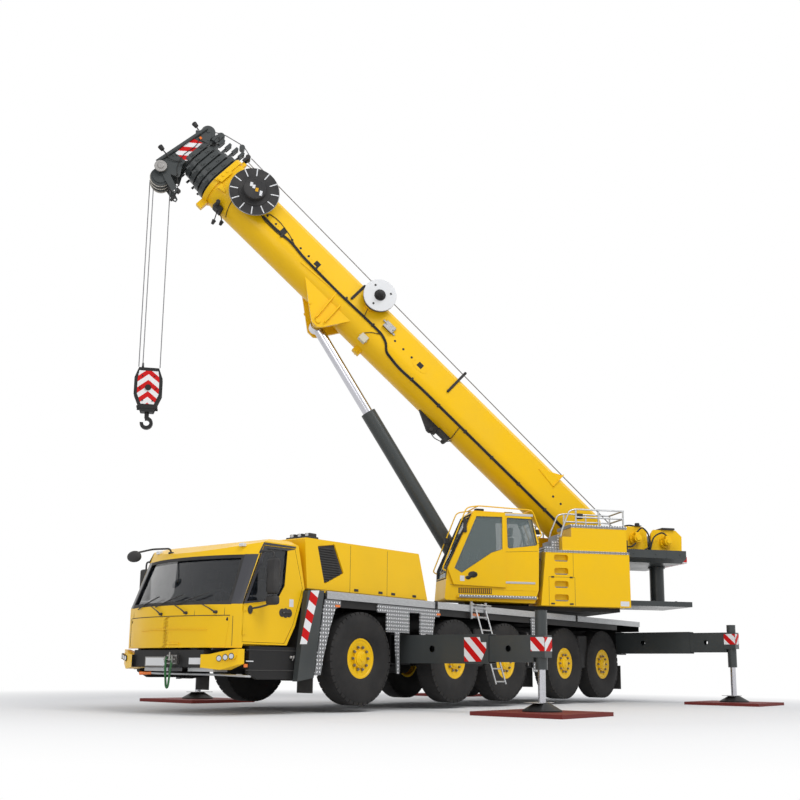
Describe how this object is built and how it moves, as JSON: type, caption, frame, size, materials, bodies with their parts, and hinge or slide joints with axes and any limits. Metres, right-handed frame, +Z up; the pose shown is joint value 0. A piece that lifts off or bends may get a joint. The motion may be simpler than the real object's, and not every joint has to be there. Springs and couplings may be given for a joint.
{
  "type": "mobile crane",
  "caption": "Road-going mobile crane on outriggers: low driver's cab, slewing superstructure with operator's cab, counterweight and telescopic boom with hook block.",
  "frame": {"origin": "centre of the machine's bounding box, on the ground under the mats", "axes": "+X towards the driver's cab, +Y to the carrier's left, +Z up"},
  "size_m": [13.0578, 9.599, 12.1135],
  "materials": {
    "aluminium": "satin",
    "dark_grey_paint": "satin",
    "red_mat": "matt",
    "rod_chrome": "polished",
    "rope_steel": "brushed",
    "tyre_rubber": "matt",
    "yellow_paint": "satin"
  },
  "bodies": {
    "carrier": {"carrier_frame": "dark_grey_paint", "axle_beams": "dark_grey_paint", "side_panels": "aluminium", "carrier_cab": "yellow_paint", "front_bumper": "dark_grey_paint", "engine_housing": "yellow_paint", "outrigger_mats": "red_mat"},
    "wheel_1_left": {"tyre_1_left": "tyre_rubber", "rim_1_left": "yellow_paint"},
    "knuckle_1_left": {"knuckle_1_left": "dark_grey_paint"},
    "wheel_1_right": {"tyre_1_right": "tyre_rubber", "rim_1_right": "yellow_paint"},
    "knuckle_1_right": {"knuckle_1_right": "dark_grey_paint"},
    "wheel_2_left": {"tyre_2_left": "tyre_rubber", "rim_2_left": "yellow_paint"},
    "knuckle_2_left": {"knuckle_2_left": "dark_grey_paint"},
    "wheel_2_right": {"tyre_2_right": "tyre_rubber", "rim_2_right": "yellow_paint"},
    "knuckle_2_right": {"knuckle_2_right": "dark_grey_paint"},
    "wheel_3_left": {"tyre_3_left": "tyre_rubber", "rim_3_left": "yellow_paint"},
    "wheel_3_right": {"tyre_3_right": "tyre_rubber", "rim_3_right": "yellow_paint"},
    "wheel_4_left": {"tyre_4_left": "tyre_rubber", "rim_4_left": "yellow_paint"},
    "wheel_4_right": {"tyre_4_right": "tyre_rubber", "rim_4_right": "yellow_paint"},
    "wheel_5_left": {"tyre_5_left": "tyre_rubber", "rim_5_left": "yellow_paint"},
    "wheel_5_right": {"tyre_5_right": "tyre_rubber", "rim_5_right": "yellow_paint"},
    "cab_door_left": {"cab_door_left": "yellow_paint"},
    "cab_door_right": {"cab_door_right": "yellow_paint"},
    "outrigger_front_left_outer": {"outrigger_front_left_outer": "dark_grey_paint"},
    "outrigger_front_left_inner": {"outrigger_front_left_inner": "dark_grey_paint"},
    "jack_front_left": {"jack_front_left": "dark_grey_paint"},
    "outrigger_front_right_outer": {"outrigger_front_right_outer": "dark_grey_paint"},
    "outrigger_front_right_inner": {"outrigger_front_right_inner": "dark_grey_paint"},
    "jack_front_right": {"jack_front_right": "dark_grey_paint"},
    "outrigger_rear_left_outer": {"outrigger_rear_left_outer": "dark_grey_paint"},
    "outrigger_rear_left_inner": {"outrigger_rear_left_inner": "dark_grey_paint"},
    "jack_rear_left": {"jack_rear_left": "dark_grey_paint"},
    "outrigger_rear_right_outer": {"outrigger_rear_right_outer": "dark_grey_paint"},
    "outrigger_rear_right_inner": {"outrigger_rear_right_inner": "dark_grey_paint"},
    "jack_rear_right": {"jack_rear_right": "dark_grey_paint"},
    "superstructure": {"slew_platform": "dark_grey_paint", "upper_housing": "yellow_paint", "counterweight": "dark_grey_paint"},
    "crane_cab": {"crane_cab": "yellow_paint"},
    "crane_cab_door": {"crane_cab_door": "yellow_paint"},
    "boom_base": {"boom_base": "yellow_paint"},
    "boom_section_2": {"boom_section_2": "dark_grey_paint"},
    "boom_section_3": {"boom_section_3": "dark_grey_paint"},
    "boom_section_4": {"boom_section_4": "dark_grey_paint"},
    "boom_section_5": {"boom_section_5": "dark_grey_paint"},
    "boom_section_6": {"boom_section_6": "dark_grey_paint"},
    "luffing_rod": {"luffing_rod": "rod_chrome"},
    "luffing_barrel": {"luffing_barrel": "dark_grey_paint"},
    "rope_falls": {"hoist_ropes": "rope_steel"},
    "hook": {"hook_block": "dark_grey_paint"}
  },
  "joints": [
    {"name": "steer_1_left", "type": "hinge", "parent": "carrier", "child": "knuckle_1_left", "pos_m": [3.769, 1.2356, 0.822], "axis": [0, 0, 1], "range_deg": [-36, 36]},
    {"name": "wheel_1_left_roll", "type": "hinge", "parent": "knuckle_1_left", "child": "wheel_1_left", "pos_m": [3.769, 1.4106, 0.822], "axis": [0, 1, 0], "continuous": true},
    {"name": "steer_1_right", "type": "hinge", "parent": "carrier", "child": "knuckle_1_right", "pos_m": [3.769, -0.7644, 0.822], "axis": [0, 0, 1], "range_deg": [-36, 36]},
    {"name": "wheel_1_right_roll", "type": "hinge", "parent": "knuckle_1_right", "child": "wheel_1_right", "pos_m": [3.769, -0.9394, 0.822], "axis": [0, 1, 0], "continuous": true},
    {"name": "steer_2_left", "type": "hinge", "parent": "carrier", "child": "knuckle_2_left", "pos_m": [1.229, 1.2356, 0.822], "axis": [0, 0, 1], "range_deg": [-25.2, 25.2]},
    {"name": "wheel_2_left_roll", "type": "hinge", "parent": "knuckle_2_left", "child": "wheel_2_left", "pos_m": [1.229, 1.4106, 0.822], "axis": [0, 1, 0], "continuous": true},
    {"name": "steer_2_right", "type": "hinge", "parent": "carrier", "child": "knuckle_2_right", "pos_m": [1.229, -0.7644, 0.822], "axis": [0, 0, 1], "range_deg": [-25.2, 25.2]},
    {"name": "wheel_2_right_roll", "type": "hinge", "parent": "knuckle_2_right", "child": "wheel_2_right", "pos_m": [1.229, -0.9394, 0.822], "axis": [0, 1, 0], "continuous": true},
    {"name": "wheel_3_left_roll", "type": "hinge", "parent": "carrier", "child": "wheel_3_left", "pos_m": [-0.421, 1.4106, 0.822], "axis": [0, 1, 0], "continuous": true},
    {"name": "wheel_3_right_roll", "type": "hinge", "parent": "carrier", "child": "wheel_3_right", "pos_m": [-0.421, -0.9394, 0.822], "axis": [0, 1, 0], "continuous": true},
    {"name": "wheel_4_left_roll", "type": "hinge", "parent": "carrier", "child": "wheel_4_left", "pos_m": [-2.671, 1.4106, 0.822], "axis": [0, 1, 0], "continuous": true},
    {"name": "wheel_4_right_roll", "type": "hinge", "parent": "carrier", "child": "wheel_4_right", "pos_m": [-2.671, -0.9394, 0.822], "axis": [0, 1, 0], "continuous": true},
    {"name": "wheel_5_left_roll", "type": "hinge", "parent": "carrier", "child": "wheel_5_left", "pos_m": [-4.341, 1.4106, 0.822], "axis": [0, 1, 0], "continuous": true},
    {"name": "wheel_5_right_roll", "type": "hinge", "parent": "carrier", "child": "wheel_5_right", "pos_m": [-4.341, -0.9394, 0.822], "axis": [0, 1, 0], "continuous": true},
    {"name": "cab_door_left_swing", "type": "hinge", "parent": "carrier", "child": "cab_door_left", "pos_m": [6.196, 1.4976, 1.3], "axis": [0, 0, -1], "range_deg": [0, 75]},
    {"name": "cab_door_right_swing", "type": "hinge", "parent": "carrier", "child": "cab_door_right", "pos_m": [6.196, -1.0264, 1.3], "axis": [0, 0, 1], "range_deg": [0, 75]},
    {"name": "outrigger_front_left_retract", "type": "slide", "parent": "carrier", "child": "outrigger_front_left_outer", "axis": [0, -1, 0], "range_m": [0, 1.775]},
    {"name": "outrigger_front_left_retract_inner", "type": "slide", "parent": "outrigger_front_left_outer", "child": "outrigger_front_left_inner", "axis": [0, -1, 0], "range_m": [0, 0.754]},
    {"name": "jack_front_left_lift", "type": "slide", "parent": "outrigger_front_left_inner", "child": "jack_front_left", "axis": [0, 0, 1], "range_m": [0, 0.48]},
    {"name": "outrigger_front_right_retract", "type": "slide", "parent": "carrier", "child": "outrigger_front_right_outer", "axis": [0, 1, 0], "range_m": [0, 1.775]},
    {"name": "outrigger_front_right_retract_inner", "type": "slide", "parent": "outrigger_front_right_outer", "child": "outrigger_front_right_inner", "axis": [0, 1, 0], "range_m": [0, 0.754]},
    {"name": "jack_front_right_lift", "type": "slide", "parent": "outrigger_front_right_inner", "child": "jack_front_right", "axis": [0, 0, 1], "range_m": [0, 0.48]},
    {"name": "outrigger_rear_left_retract", "type": "slide", "parent": "carrier", "child": "outrigger_rear_left_outer", "axis": [0, -1, 0], "range_m": [0, 1.775]},
    {"name": "outrigger_rear_left_retract_inner", "type": "slide", "parent": "outrigger_rear_left_outer", "child": "outrigger_rear_left_inner", "axis": [0, -1, 0], "range_m": [0, 0.754]},
    {"name": "jack_rear_left_lift", "type": "slide", "parent": "outrigger_rear_left_inner", "child": "jack_rear_left", "axis": [0, 0, 1], "range_m": [0, 0.58]},
    {"name": "outrigger_rear_right_retract", "type": "slide", "parent": "carrier", "child": "outrigger_rear_right_outer", "axis": [0, 1, 0], "range_m": [0, 1.775]},
    {"name": "outrigger_rear_right_retract_inner", "type": "slide", "parent": "outrigger_rear_right_outer", "child": "outrigger_rear_right_inner", "axis": [0, 1, 0], "range_m": [0, 0.754]},
    {"name": "jack_rear_right_lift", "type": "slide", "parent": "outrigger_rear_right_inner", "child": "jack_rear_right", "axis": [0, 0, 1], "range_m": [0, 0.58]},
    {"name": "slew", "type": "hinge", "parent": "carrier", "child": "superstructure", "pos_m": [-2.281, 0.2356, 1.8], "axis": [0, 0, 1], "continuous": true},
    {"name": "crane_cab_tilt", "type": "hinge", "parent": "superstructure", "child": "crane_cab", "pos_m": [-2.06116, 1.20378, 2.9], "axis": [-0.6307, -0.776, 0], "range_deg": [0, 20]},
    {"name": "crane_cab_door_slide", "type": "slide", "parent": "crane_cab", "child": "crane_cab_door", "axis": [-0.776, 0.6307, 0], "range_m": [0, 0.62]},
    {"name": "boom_luff", "type": "hinge", "parent": "superstructure", "child": "boom_base", "pos_m": [-3.58476, 1.29513, 3.15], "axis": [-0.6307, -0.776, 0], "range_deg": [-42.3, 39.7]},
    {"name": "telescope_2", "type": "slide", "parent": "boom_base", "child": "boom_section_2", "axis": [0.574, -0.4665, 0.673], "range_m": [0, 8.1]},
    {"name": "telescope_3", "type": "slide", "parent": "boom_section_2", "child": "boom_section_3", "axis": [0.574, -0.4665, 0.673], "range_m": [0, 8.1]},
    {"name": "telescope_4", "type": "slide", "parent": "boom_section_3", "child": "boom_section_4", "axis": [0.574, -0.4665, 0.673], "range_m": [0, 8.1]},
    {"name": "telescope_5", "type": "slide", "parent": "boom_section_4", "child": "boom_section_5", "axis": [0.574, -0.4665, 0.673], "range_m": [0, 8.1]},
    {"name": "telescope_6", "type": "slide", "parent": "boom_section_5", "child": "boom_section_6", "axis": [0.574, -0.4665, 0.673], "range_m": [0, 8.1]},
    {"name": "luffing_rod_eye", "type": "hinge", "parent": "boom_base", "child": "luffing_rod", "pos_m": [0.8967, -2.34684, 7.91787], "axis": [-0.6307, -0.776, 0], "range_deg": [-6.2, 5.8]},
    {"name": "luffing_extend", "type": "slide", "parent": "luffing_rod", "child": "luffing_barrel", "axis": [-0.4159, 0.338, -0.8442], "range_m": [-1.44, 1.36]},
    {"name": "hook_hang", "type": "hinge", "parent": "boom_section_6", "child": "rope_falls", "pos_m": [3.55119, -4.50409, 10.87482], "axis": [-0.6307, -0.776, 0], "range_deg": [-40, 42.5]},
    {"name": "hook_hoist", "type": "slide", "parent": "rope_falls", "child": "hook", "axis": [0, 0, -1], "range_m": [-3.2, 5.2], "deforming": ["hoist_ropes"]}
  ],
  "couplings": [
    {"joint": "steer_1_right", "follows": "steer_1_left", "ratio": 1},
    {"joint": "steer_2_left", "follows": "steer_1_left", "ratio": 0.7},
    {"joint": "steer_2_right", "follows": "steer_1_left", "ratio": 0.7},
    {"joint": "outrigger_front_left_retract_inner", "follows": "outrigger_front_left_retract", "ratio": 0.42479},
    {"joint": "outrigger_front_right_retract_inner", "follows": "outrigger_front_right_retract", "ratio": 0.42479},
    {"joint": "outrigger_rear_left_retract_inner", "follows": "outrigger_rear_left_retract", "ratio": 0.42479},
    {"joint": "outrigger_rear_right_retract_inner", "follows": "outrigger_rear_right_retract", "ratio": 0.42479},
    {"joint": "telescope_3", "follows": "telescope_2", "ratio": 1},
    {"joint": "telescope_4", "follows": "telescope_2", "ratio": 1},
    {"joint": "telescope_5", "follows": "telescope_2", "ratio": 1},
    {"joint": "telescope_6", "follows": "telescope_2", "ratio": 1},
    {"joint": "luffing_rod_eye", "follows": "boom_luff", "ratio": 0.145},
    {"joint": "luffing_extend", "follows": "boom_luff", "m_per_rad": 1.95},
    {"joint": "hook_hang", "follows": "boom_luff", "ratio": -1}
  ]
}
